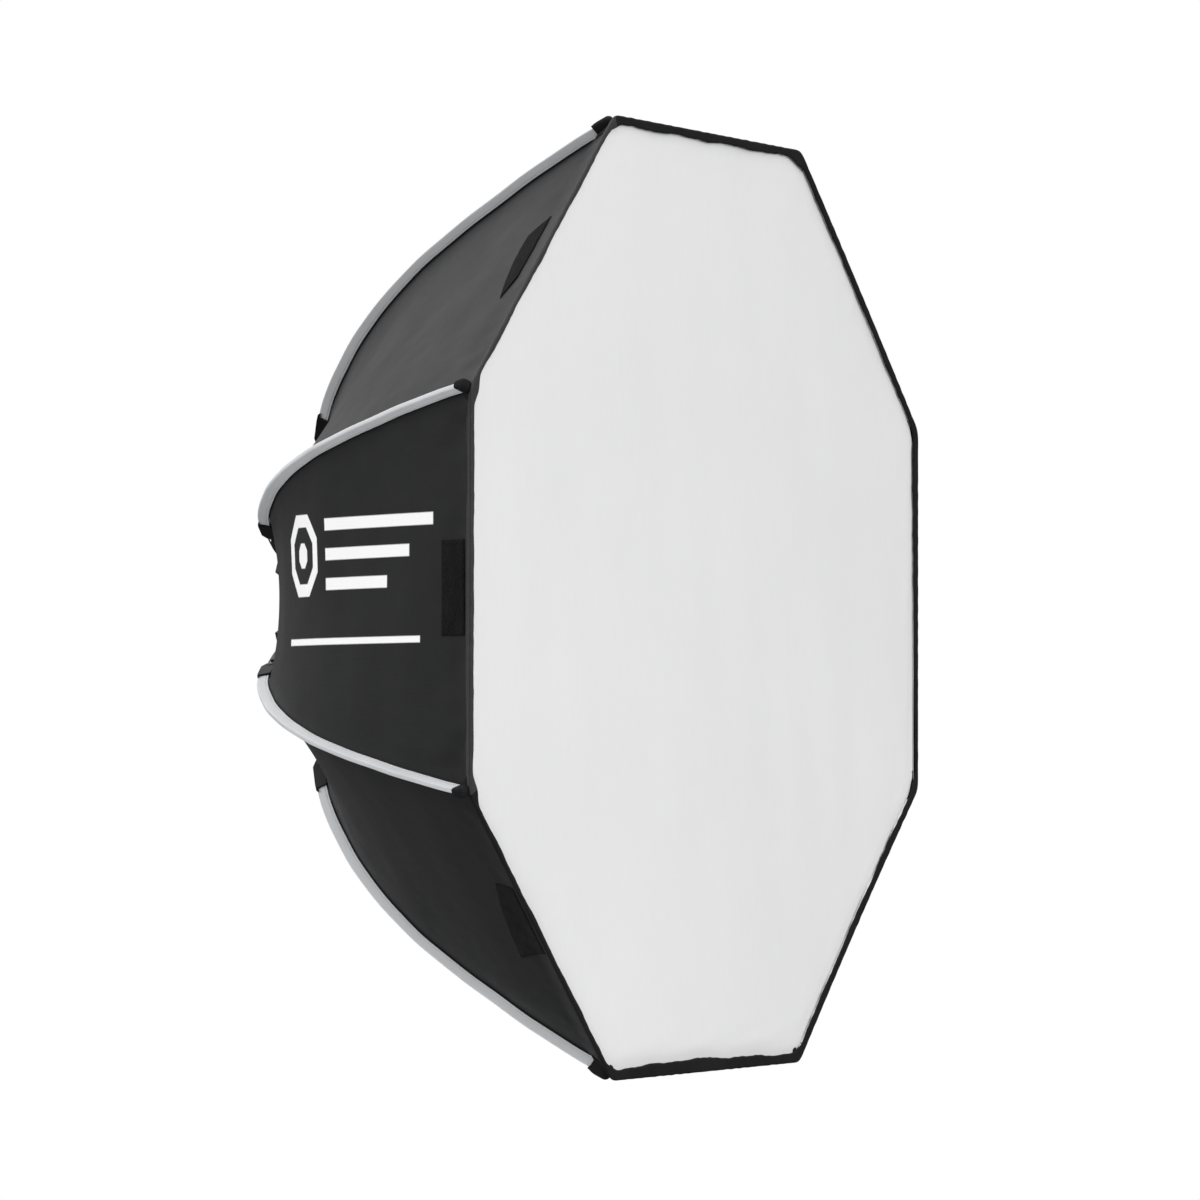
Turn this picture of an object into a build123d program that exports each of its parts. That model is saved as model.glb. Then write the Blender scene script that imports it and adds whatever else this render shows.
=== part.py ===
from build123d import *
import math
import os

os.makedirs("parts", exist_ok=True)

# Octagonal studio softbox that folds like an umbrella.
# Frame: origin at the centre of the rear seat of the lamp mount, +X along the
# optical axis towards the front diffuser, +Z up. Millimetres.

# ---------------------------------------------------------------- dimensions
N = 8                     # ribs, and panels between them
STEP_A = 360.0 / N        # angle between two ribs
HALF_A = STEP_A / 2
FIRST_A = 22.5            # angle of rib 1 from +Y towards +Z
RIM_R = 450.0             # rim corner radius: 900 mm corner to corner
DEPTH = 412.0             # mount seat to front rim plane

RIB_W = 6.4               # rib width, tangential
RIB_T = 8.0               # rib depth, across the bend
RIB_SOCKET = 12.0         # length of rib held in its socket
# rib centre line as (distance along the axis, radius), rear end to tip
RIB_LINE = [(46, 184), (54, 199), (66, 217), (81, 236), (97, 255), (114, 272),
            (136, 292), (160, 311), (186, 330), (215, 348), (246, 366.5),
            (278, 384), (312, 403), (342, 418), (377, 435), (401, 445.2)]

PIVOT_X, PIVOT_R = 39.0, 160.0   # rib hinge axis
PIN_R = 1.5
PIN_HALF = 6.8
SHOE_HALF = 7.0           # half width of the rib socket
FORK_HALF = 3.4           # half width of the slot for the arm's knuckle
KNUCKLE_R = 4.6
KNUCKLE_HALF = 3.0
ARM_T = 4.0
ARM_HALF = 5.0
FOOT_R0, FOOT_R1 = 86.2, 99.0
FOOT_HALF = 11.0
FOOT_X0, FOOT_X1 = 9.0, 21.0

FABRIC_T = 1.0            # cover laminate
UNDER_RIB = 5.0           # cover's outer face, below the rib centre line
HEM_W = 9.0               # front hem, measured across a flat
SEAM_GAP = 0.3

DIFF_X = 408.0            # front diffuser plane
DIFF_T = 0.8
DIFF_APOTHEM = 405.5
DIFF_CORNER_R = 426.0     # diffuser corners are cut off at this radius

COLLAR_REAR = (23.0, 94.5)    # rear collar, axis distance and corner radius
COLLAR_FRONT = (44.4, 157.0)

PATCH_L = 80.0            # hook-and-loop strip, along the rim
PATCH_X0, PATCH_X1 = 369.0, 400.5
PATCH_T = 1.2

BORE_R = 48.5             # light opening
SEAT_R = 72.0             # seat flange
SPIGOT_R = 54.5
LUG_R = 61.0
LUG_DEG = 40.0
SPIGOT_L = 8.0
LUG_T = 3.5
FLANGE_T = 5.0
HUB_R = 86.0
HUB_X1 = 40.0
WALL = 3.2
PILLAR_R, PILLAR_PCR = 4.0, 66.0
SCREW_R = 1.6

WIRE_R = 0.7

COS_H, TAN_H = math.cos(math.radians(HALF_A)), math.tan(math.radians(HALF_A))


# ------------------------------------------------------------------- helpers
def around(shape, degrees):
    return Rot(degrees, 0, 0) * shape


def rib_angle(k):
    return FIRST_A + STEP_A * k


def normals(points):
    """Unit normals of a line of points, to its left."""
    out = []
    for i in range(len(points)):
        a, b = points[max(i - 1, 0)], points[min(i + 1, len(points) - 1)]
        dx, dy = b[0] - a[0], b[1] - a[1]
        n = math.hypot(dx, dy)
        out.append((-dy / n, dx / n))
    return out


def shifted(points, distance):
    """The line of points moved sideways, to its left, which is outwards."""
    return [(p[0] + n[0] * distance, p[1] + n[1] * distance)
            for p, n in zip(points, normals(points))]


def band(outer, inner, tail=()):
    """A face between two lines that run the same way, with extra corner
    points between the end of the first and the end of the second."""
    edges = [Spline(*[(x, y, 0) for x, y in outer])]
    corners = [outer[-1], *tail, inner[-1]]
    for a, b in zip(corners[:-1], corners[1:]):
        edges.append(Line((a[0], a[1], 0), (b[0], b[1], 0)))
    edges.append(Spline(*[(x, y, 0) for x, y in inner]))
    edges.append(Line((inner[0][0], inner[0][1], 0), (outer[0][0], outer[0][1], 0)))
    return Face(Wire(edges))


def slab(points, half):
    """A closed polygon in the axis and radius plane, given tangential width."""
    face = Face(Wire.make_polygon([(x, y, 0) for x, y in points], close=True))
    return extrude(face, amount=half, both=True)


def ring(points):
    """A closed profile of axis distance and radius, turned about the axis."""
    face = Face(Wire.make_polygon([(x, y, 0) for x, y in points], close=True))
    return revolve(face, Axis.X)


def peg(radius, x0, x1, y=0.0, z=0.0):
    """A round peg along the axis."""
    return Pos((x0 + x1) / 2, y, z) * Rot(0, 90, 0) * Cylinder(radius, x1 - x0)


def save(node, shape):
    shape.label = node
    export_step(shape, f"parts/{node}.step")


# ---------------------------------------------------------------------- ribs
first, second = RIB_LINE[0], RIB_LINE[1]
end_len = math.hypot(second[0] - first[0], second[1] - first[1])
END_D = ((first[0] - second[0]) / end_len, (first[1] - second[1]) / end_len)
END_N = (END_D[1], -END_D[0])          # outwards, across the rib's rear end

outer_line, inner_line = shifted(RIB_LINE, RIB_T / 2), shifted(RIB_LINE, -RIB_T / 2)
rib_body = extrude(band(outer_line, inner_line), amount=RIB_W / 2, both=True)
a0, a1 = outer_line[0], inner_line[0]
tongue = slab([(a0[0] - 0.2 * END_D[0], a0[1] - 0.2 * END_D[1]),
               (a0[0] + RIB_SOCKET * END_D[0], a0[1] + RIB_SOCKET * END_D[1]),
               (a1[0] + RIB_SOCKET * END_D[0], a1[1] + RIB_SOCKET * END_D[1]),
               (a1[0] - 0.2 * END_D[0], a1[1] - 0.2 * END_D[1])], RIB_W / 2)
rib = (rib_body + tongue).solid()

# rib socket: the black end piece with a finger lip, a slot for the knuckle
# and a cross hole for the hinge pin
SHOE = [(44.9, 189.6), (42.2, 188.8), (39.3, 183.0), (28.2, 156.0), (28.6, 151.4),
        (33.6, 151.2), (36.2, 153.6), (41.0, 153.2), (44.0, 158.0), (51.7, 180.4),
        (50.8, 181.9), (42.3, 186.2)]
shoe = slab(SHOE, SHOE_HALF)
c = 0.15
socket_a = (a0[0] + c * END_N[0], a0[1] + c * END_N[1])
socket_b = (a1[0] - c * END_N[0], a1[1] - c * END_N[1])
socket = slab([(socket_a[0] - 9 * END_D[0], socket_a[1] - 9 * END_D[1]),
               (socket_a[0] + (RIB_SOCKET + 0.2) * END_D[0], socket_a[1] + (RIB_SOCKET + 0.2) * END_D[1]),
               (socket_b[0] + (RIB_SOCKET + 0.2) * END_D[0], socket_b[1] + (RIB_SOCKET + 0.2) * END_D[1]),
               (socket_b[0] - 9 * END_D[0], socket_b[1] - 9 * END_D[1])], RIB_W / 2 + c)
slot = slab([(25.0, 148.0), (27.0, 157.5), (31.5, 166.0), (46.0, 166.0), (50.0, 160.0),
             (50.0, 148.0)], FORK_HALF)
cross = Pos(PIVOT_X, PIVOT_R, 0) * Cylinder(PIN_R + 0.05, 2 * SHOE_HALF + 4)
shoe = (shoe - socket - slot - cross).solid()

for k in range(N):
    save(f"rib_{k + 1}", around(rib, rib_angle(k)))
    save(f"rib_socket_{k + 1}", around(shoe, rib_angle(k)))

# ---------------------------------------------------- hub arms and hinge pins
foot_mid = ((FOOT_X0 + FOOT_X1) / 2 + 2.0, FOOT_R1 - 3.0)
ux, uy = PIVOT_X - foot_mid[0], PIVOT_R - foot_mid[1]
ul = math.hypot(ux, uy)
ux, uy = ux / ul, uy / ul
nx, ny = -uy, ux


def along(t, s):
    return (foot_mid[0] + ux * t + nx * s, foot_mid[1] + uy * t + ny * s)


arm = slab([(FOOT_X0, FOOT_R0), (FOOT_X1, FOOT_R0), (FOOT_X1, FOOT_R1), (FOOT_X0, FOOT_R1)], FOOT_HALF)
arm = arm + slab([along(0, -ARM_T / 2), along(0, ARM_T / 2), along(ul - 10.0, ARM_T / 2),
                  along(ul - 10.0, -ARM_T / 2)], ARM_HALF)
arm = arm + slab([along(ul - 14.0, -ARM_T / 2), along(ul - 14.0, ARM_T / 2), along(ul, ARM_T / 2),
                  along(ul, -ARM_T / 2)], KNUCKLE_HALF)
arm = arm + Pos(PIVOT_X, PIVOT_R, 0) * Cylinder(KNUCKLE_R, 2 * KNUCKLE_HALF)
arm = (arm - Pos(PIVOT_X, PIVOT_R, 0) * Cylinder(PIN_R + 0.02, 40)).solid()
pin = (Pos(PIVOT_X, PIVOT_R, 0) * Cylinder(PIN_R, 2 * PIN_HALF)).solid()
save("hub_arms", Compound([around(arm, rib_angle(k)) for k in range(N)]))
save("hinge_pins", Compound([around(pin, rib_angle(k)) for k in range(N)]))

# draw wires: one bowed wire from each socket's foot to the hub
wire_path = ThreePointArc((29.4, 150.2, 0), (21.4, 127.0, 0), (14.6, 99.4, 0))
wire_plane = Plane(origin=wire_path @ 0, z_dir=wire_path % 0)
wire = sweep(wire_plane * Circle(WIRE_R), path=wire_path).solid()
save("draw_wires", Compound([around(wire, rib_angle(k)) for k in range(N)]))

# ----------------------------------------------------------------------- hub
ring_body = ring([(-SPIGOT_L, BORE_R), (-SPIGOT_L, SPIGOT_R), (0, SPIGOT_R), (0, SEAT_R),
                  (FLANGE_T, SEAT_R), (FLANGE_T, BORE_R)])
lug_face = Face(Wire.make_polygon([(-SPIGOT_L, SPIGOT_R - 0.5, 0), (-SPIGOT_L, LUG_R, 0),
                                   (-SPIGOT_L + LUG_T, LUG_R, 0), (-SPIGOT_L + LUG_T, SPIGOT_R - 0.5, 0)],
                                  close=True))
lug = revolve(lug_face, Axis.X, LUG_DEG)
for k in range(3):
    ring_body = ring_body + around(lug, 90 - LUG_DEG / 2 + 120 * k)
seat_holes = []
for k in range(4):
    a = math.radians(45 + 90 * k)
    y, z = 65.0 * math.cos(a), 65.0 * math.sin(a)
    ring_body = ring_body - peg(2.1, -1, FLANGE_T + 1, y, z) - peg(4.0, -1, 2.2, y, z)
    seat_holes.append((y, z))
save("bayonet_ring", ring_body.solid())

X0 = FLANGE_T
hub = ring([(X0, BORE_R + 1.5), (X0, 79.0), (X0 + 4, HUB_R), (HUB_X1, HUB_R), (HUB_X1, HUB_R - WALL),
            (X0 + WALL + 1, HUB_R - WALL), (X0 + WALL + 1, BORE_R + 1.5 + WALL), (HUB_X1, BORE_R + 1.5 + WALL),
            (HUB_X1, BORE_R + 1.5)])
pillars = []
for k in range(N):
    a = math.radians(STEP_A * k)
    y, z = PILLAR_PCR * math.cos(a), PILLAR_PCR * math.sin(a)
    pillars.append((y, z))
    hub = hub + peg(PILLAR_R, X0 + 1, HUB_X1, y, z)
for y, z in pillars:
    hub = hub - peg(SCREW_R + 0.05, 24.0, HUB_X1 + 1, y, z)
for y, z in seat_holes:
    hub = hub + peg(4.0, X0 + 1, X0 + 12, y, z) - peg(SCREW_R + 0.05, X0 - 1, X0 + 10, y, z)
save("hub_shell", hub.solid())

front = ring([(HUB_X1, BORE_R + 1.5), (HUB_X1, HUB_R), (HUB_X1 + 2.5, HUB_R), (HUB_X1 + 3.5, HUB_R - 1),
              (HUB_X1 + 3.5, BORE_R + 1.5)])
for y, z in pillars:
    front = front - peg(SCREW_R + 0.2, HUB_X1 - 1, HUB_X1 + 5, y, z)
save("hub_front_ring", front.solid())

screws = []
for y, z in pillars:
    s = peg(SCREW_R, 26.0, HUB_X1 + 3.6, y, z) + peg(3.2, HUB_X1 + 3.5, HUB_X1 + 5.7, y, z)
    s = s - Pos(HUB_X1 + 5.2, y, z) * Box(1.2, 4.4, 0.8) - Pos(HUB_X1 + 5.2, y, z) * Box(1.2, 0.8, 4.4)
    screws.append(s.solid())
for y, z in seat_holes:
    s = peg(SCREW_R, 2.1, X0 + 8, y, z) + peg(3.6, 0.2, 2.2, y, z)
    s = s - Pos(0.6, y, z) * Box(1.2, 4.4, 0.8) - Pos(0.6, y, z) * Box(1.2, 0.8, 4.4)
    screws.append(s.solid())
save("hub_screws", Compound(screws))

# ring that the draw wires end on, in the hub's channel
draw = ring([(24.0, 72.5), (24.0, 81.6), (29.0, 81.6), (29.0, 72.5)])
save("draw_ring", draw.solid())

# ---------------------------------------------------------------- rear collar
def frustum(inset):
    lo, hi = COLLAR_REAR, COLLAR_FRONT
    rear = Plane(origin=(lo[0], 0, 0), x_dir=(0, 1, 0), z_dir=(1, 0, 0)) * RegularPolygon(
        lo[1] - inset, N, rotation=HALF_A)
    fore = Plane(origin=(hi[0], 0, 0), x_dir=(0, 1, 0), z_dir=(1, 0, 0)) * RegularPolygon(
        hi[1] - inset, N, rotation=HALF_A)
    return loft([rear.face(), fore.face()], ruled=True)


collar = frustum(0) - frustum(FABRIC_T * 1.15)
save("rear_collar", collar.solid())

# --------------------------------------------------------------------- cover
under = [p for p in shifted(RIB_LINE, -UNDER_RIB) if 56 < p[0] < 398]
COVER_LINE = [(45.8, 159.0), (49.2, 167.6), (53.8, 180.4)] + under + [
    (400.0, 438.6), (404.5, 441.2), (408.5, 445.6), (DEPTH, RIM_R)]
mid_outer = [(x, r * COS_H) for x, r in COVER_LINE]
mid_inner = shifted(mid_outer, -FABRIC_T)
mid_inner = [p for p in mid_inner if p[0] < DEPTH - 2.5]
front_r = RIM_R * COS_H
hem_in = front_r - HEM_W
cover_face = band(mid_outer, mid_inner + [(DEPTH - FABRIC_T, front_r - 3.4)],
                  tail=[(DEPTH, hem_in), (DEPTH - FABRIC_T, hem_in)])
cover_slab = extrude(cover_face, amount=200.0, dir=(0, 0, -1))

g = SEAM_GAP / 2
wedge = extrude(Face(Wire.make_polygon([(-60, 5, -g), (-60, 500, -g),
                                        (-60, 500, -500 * TAN_H + g / COS_H),
                                        (-60, 5, -5 * TAN_H + g / COS_H)], close=True)),
                amount=600, dir=(1, 0, 0))
half_b = (cover_slab & wedge).solid()       # below its panel's mid plane
half_a = half_b.mirror(Plane.XY)            # above it

# the strips of hook-and-loop on each panel, next to the rim
patch_line = [p for p in mid_outer if PATCH_X0 - 20 < p[0] < PATCH_X1 + 12]


def cut_line(points, x0, x1):
    out = []
    for x in (x0, (2 * x0 + x1) / 3, (x0 + 2 * x1) / 3, x1):
        for p, q in zip(points[:-1], points[1:]):
            if p[0] <= x <= q[0]:
                f = (x - p[0]) / (q[0] - p[0])
                out.append((x, p[1] + f * (q[1] - p[1])))
                break
    return out


patch_mid = cut_line(mid_outer, PATCH_X0, PATCH_X1)
patch_face = band(shifted(patch_mid, 0.6 + PATCH_T), shifted(patch_mid, 0.6))
patch = extrude(patch_face, amount=PATCH_L / 2, both=True).solid()

for k in range(N):
    # the half above rib k belongs to panel k, whose mid plane is HALF_A further on
    save(f"cover_{k + 1}_a", around(half_b, rib_angle(k) + HALF_A))
    save(f"cover_{k + 1}_b", around(half_a, rib_angle(k) - HALF_A))
    save(f"loop_patch_{k + 1}", around(patch, rib_angle(k) + HALF_A))

# ------------------------------------------------------------- front diffuser
half_side = DIFF_APOTHEM * TAN_H


def in_rib_frame(rho, degrees):
    a = math.radians(degrees)
    return (rho * math.cos(a), rho * math.sin(a))


b_mid = in_rib_frame(DIFF_APOTHEM, HALF_A)
full_r = DIFF_APOTHEM / COS_H
# the corner's cut, square to the rib plane
edge_dir = (full_r - b_mid[0], -b_mid[1])
f = (DIFF_CORNER_R - b_mid[0]) / edge_dir[0]
cut = (DIFF_CORNER_R, b_mid[1] + f * edge_dir[1])
kite = [(0.5, 0.0), (b_mid[0], b_mid[1] - g / COS_H), cut, (cut[0], -cut[1]),
        (b_mid[0], -b_mid[1] + g / COS_H)]
sector = extrude(Face(Wire.make_polygon([(DIFF_X, y, z) for y, z in kite], close=True)),
                 amount=DIFF_T, dir=(1, 0, 0)).solid()
for k in range(N):
    save(f"diffuser_{k + 1}", around(sector, rib_angle(k)))
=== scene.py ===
import math

import bpy
import numpy as np
from mathutils import Matrix, Vector


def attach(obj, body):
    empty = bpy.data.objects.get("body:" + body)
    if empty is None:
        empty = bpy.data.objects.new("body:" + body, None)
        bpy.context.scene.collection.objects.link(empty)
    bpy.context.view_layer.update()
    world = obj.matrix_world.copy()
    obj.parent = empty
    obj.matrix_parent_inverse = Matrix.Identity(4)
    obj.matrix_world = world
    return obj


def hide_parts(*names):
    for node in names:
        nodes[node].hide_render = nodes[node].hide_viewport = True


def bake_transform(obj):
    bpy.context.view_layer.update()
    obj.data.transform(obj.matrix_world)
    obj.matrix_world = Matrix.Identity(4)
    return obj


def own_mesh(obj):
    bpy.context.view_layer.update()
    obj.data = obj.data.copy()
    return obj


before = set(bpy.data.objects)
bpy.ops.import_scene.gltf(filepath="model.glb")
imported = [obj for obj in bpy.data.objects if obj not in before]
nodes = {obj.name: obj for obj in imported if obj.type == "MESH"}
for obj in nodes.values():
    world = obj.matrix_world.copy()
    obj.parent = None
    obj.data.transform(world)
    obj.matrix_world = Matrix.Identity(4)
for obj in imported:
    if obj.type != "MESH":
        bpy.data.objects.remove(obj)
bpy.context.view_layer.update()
MM = 0.001
C8, S8 = math.cos(math.pi / 8), math.sin(math.pi / 8)
T8 = math.tan(math.pi / 8)

# ---------------------------------------------------------------- frame lines, mm (x along the axis, r from it)
RIM_R = 450.0
RIM_AP = RIM_R * C8
DEPTH = 412.0
RIB_LINE = np.array([
    (46, 184), (54, 199), (66, 217), (81, 236), (97, 255), (114, 272), (136, 292), (160, 311),
    (186, 330), (215, 348), (246, 366.5), (278, 384), (312, 403), (342, 418), (377, 435), (401, 445.2)], float)
UNDER_RIB = 5.0
WIRE_LINE = [(29.4, 150.2), (21.4, 127.0), (14.6, 99.4)]
# two points (x, r, s), mm, on each half cover in its rib's frame
BEND_0 = (217.75, 329.36, 22.90)
BEND_1 = (276.16, 284.75, 199.77)


def smooth01(t):
    t = np.clip(t, 0, 1)
    return t * t * (3 - 2 * t)


def spline(points, n, closed=False):
    """n points along a centripetal Catmull-Rom curve through points, evenly spaced."""
    p = np.array(points, float)
    if closed:
        q = np.vstack([p[-1], p, p[0], p[1]])
        spans = len(p)
    else:
        q = np.vstack([2 * p[0] - p[1], p, 2 * p[-1] - p[-2]])
        spans = len(p) - 1
    out = []
    for i in range(spans):
        p0, p1, p2, p3 = q[i:i + 4]
        t0 = 0.0
        t1 = t0 + max(np.linalg.norm(p1 - p0), 1e-6) ** 0.5
        t2 = t1 + max(np.linalg.norm(p2 - p1), 1e-6) ** 0.5
        t3 = t2 + max(np.linalg.norm(p3 - p2), 1e-6) ** 0.5
        for t in np.linspace(t1, t2, 24, endpoint=False):
            a1 = (t1 - t) / (t1 - t0) * p0 + (t - t0) / (t1 - t0) * p1
            a2 = (t2 - t) / (t2 - t1) * p1 + (t - t1) / (t2 - t1) * p2
            a3 = (t3 - t) / (t3 - t2) * p2 + (t - t2) / (t3 - t2) * p3
            b1 = (t2 - t) / (t2 - t0) * a1 + (t - t0) / (t2 - t0) * a2
            b2 = (t3 - t) / (t3 - t1) * a2 + (t - t1) / (t3 - t1) * a3
            out.append((t2 - t) / (t2 - t1) * b1 + (t - t1) / (t2 - t1) * b2)
    out.append(p[0] if closed else p[-1])
    out = np.array(out)
    d = np.r_[0, np.cumsum(np.linalg.norm(np.diff(out, axis=0), axis=1))]
    if closed:
        want = np.linspace(0, d[-1], n + 1)[:-1]
    else:
        want = np.linspace(0, d[-1], n)
    return np.column_stack([np.interp(want, d, out[:, i]) for i in range(out.shape[1])])


def normals2(line):
    """Unit normals of an (x, r) line, outwards."""
    t = np.gradient(line, axis=0)
    t /= np.linalg.norm(t, axis=1)[:, None]
    return np.column_stack([-t[:, 1], t[:, 0]])


RIB_FINE = spline(RIB_LINE, 160)
_under = RIB_FINE - normals2(RIB_FINE) * UNDER_RIB
_under = _under[(_under[:, 0] > 57) & (_under[:, 0] < 396)]
COVER_FINE = spline(np.vstack([[(45.8, 159.0), (49.2, 167.6), (53.8, 180.4)], _under[::8], [(399, 438.9), (405, 442.2), (409, 444.6)]]), 240)
COVER_LEN = np.r_[0, np.cumsum(np.linalg.norm(np.diff(COVER_FINE, axis=0), axis=1))]


def cover_at(length):
    return np.interp(length, COVER_LEN, COVER_FINE[:, 0]), np.interp(length, COVER_LEN, COVER_FINE[:, 1])


def length_at_x(x):
    return np.interp(x, COVER_FINE[:, 0], COVER_LEN)


def rib_angle(k):
    return math.radians(22.5 + 45.0 * k)


def place(k, x, r, s):
    """Row-frame points in metres from rib frame k: x along the axis, r along the rib's radius, s along its tangent, mm."""
    a = rib_angle(k)
    x, r, s = np.broadcast_arrays(np.asarray(x, float), np.asarray(r, float), np.asarray(s, float))
    return np.stack([x, r * math.cos(a) - s * math.sin(a), r * math.sin(a) + s * math.cos(a)], -1) * MM


def point(k, x, r, s):
    return tuple(float(v) for v in place(k, x, r, s))


# ---------------------------------------------------------------- smooth repeatable noise
def waves(seed, n, low, high, turn=None, spread=math.pi):
    """n plane waves: direction, frequency per mm and phase; low and high are wavelengths in mm."""
    rng = np.random.RandomState(seed)
    ang = rng.uniform(0, math.pi, n) if turn is None else turn + rng.uniform(-spread, spread, n)
    lam = np.exp(rng.uniform(math.log(low), math.log(high), n))
    return ang, 2 * math.pi / lam, rng.uniform(0, 2 * math.pi, n), rng.uniform(0.5, 1.0, n)


def field(w, a, b):
    ang, f, ph, amp = w
    out = 0.0
    for i in range(len(ang)):
        out = out + amp[i] * np.sin(f[i] * (a * math.cos(ang[i]) + b * math.sin(ang[i])) + ph[i])
    return out / math.sqrt(len(ang))


# ---------------------------------------------------------------- meshes
def mesh_object(name, verts, faces, uv=None, mats=(), mat_index=None, sharp=40.0):
    me = bpy.data.meshes.new(name)
    me.from_pydata([tuple(v) for v in np.asarray(verts, float)], [], [tuple(int(i) for i in f) for f in faces])
    me.update()
    for m in mats:
        me.materials.append(m)
    if mat_index is not None:
        me.polygons.foreach_set("material_index", np.asarray(mat_index, np.int32))
    if uv is not None:
        layer = me.uv_layers.new(name="UVMap")
        vi = np.empty(len(me.loops), np.int32)
        me.loops.foreach_get("vertex_index", vi)
        layer.data.foreach_set("uv", np.asarray(uv, np.float32)[vi].ravel())
    me.shade_smooth()
    if sharp is not None:
        me.set_sharp_from_angle(angle=math.radians(sharp))
    me.validate()
    o = bpy.data.objects.new(name, me)
    bpy.context.scene.collection.objects.link(o)
    return o


def grid_normals(g):
    du = np.gradient(g, axis=0)
    dv = np.gradient(g, axis=1)
    n = np.cross(du, dv)
    return n / np.maximum(np.linalg.norm(n, axis=2), 1e-12)[:, :, None]


def shell(name, g, uv, thick, mats, outward, mat_in=1, sharp=40.0):
    """A closed sheet from grid g (rows, columns, 3) of its outer face; outward is a rough outward direction per point."""
    m, n = g.shape[:2]
    nm = grid_normals(g)
    if float((nm * outward).sum()) < 0:
        nm = -nm
        flip = True
    else:
        flip = False
    inner = g - nm * thick
    verts = np.vstack([g.reshape(-1, 3), inner.reshape(-1, 3)])
    idx = np.arange(m * n).reshape(m, n)
    a, b, c, d = idx[:-1, :-1].ravel(), idx[1:, :-1].ravel(), idx[1:, 1:].ravel(), idx[:-1, 1:].ravel()
    q = np.column_stack([a, b, c, d])
    if flip:
        q = q[:, ::-1]
    qi = q[:, ::-1] + m * n
    ring = np.r_[idx[0, :-1], idx[:-1, -1], idx[-1, :0:-1], idx[:0:-1, 0]]
    nxt = np.r_[ring[1:], ring[:1]]
    wall = np.column_stack([ring, nxt, nxt + m * n, ring + m * n])
    if flip:
        wall = wall[:, ::-1]
    # the border runs along the first row, so check it against the faces it closes
    edge = {(int(x), int(y)) for f in q for x, y in zip(f, np.roll(f, -1))}
    if (int(wall[0][0]), int(wall[0][1])) in edge:
        wall = wall[:, ::-1]
    faces = np.vstack([q, qi, wall])
    mi = np.r_[np.zeros(len(q)), np.full(len(qi), mat_in), np.zeros(len(wall))]
    uv2 = np.vstack([uv.reshape(-1, 2), uv.reshape(-1, 2)])
    return mesh_object(name, verts, faces, uv2, mats, mi, sharp)


def tube(name, rings, uv=None, mats=(), sharp=40.0, outward_check=True):
    """A closed solid from rings (m, n, 3), capped at both ends."""
    m, n = rings.shape[:2]
    verts = rings.reshape(-1, 3)
    idx = np.arange(m * n).reshape(m, n)
    j = np.roll(np.arange(n), -1)
    q = np.column_stack([idx[:-1, :].ravel(), idx[:-1, j].ravel(), idx[1:, j].ravel(), idx[1:, :].ravel()])
    # orientation from the signed volume
    faces = [tuple(f) for f in q] + [tuple(idx[0, ::-1]), tuple(idx[-1, :])]
    vol = 0.0
    for f in faces:
        p0 = verts[f[0]]
        for i in range(1, len(f) - 1):
            vol += np.dot(p0, np.cross(verts[f[i]], verts[f[i + 1]]))
    if vol < 0:
        faces = [tuple(reversed(f)) for f in faces]
    return mesh_object(name, verts, faces, uv, mats, None, sharp)


# ---------------------------------------------------------------- materials
def new_mat(name):
    m = bpy.data.materials.new(name)
    m.use_nodes = True
    nt = m.node_tree
    nt.nodes.clear()
    out = nt.nodes.new("ShaderNodeOutputMaterial")
    b = nt.nodes.new("ShaderNodeBsdfPrincipled")
    nt.links.new(b.outputs[0], out.inputs[0])
    return m, nt, b


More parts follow.
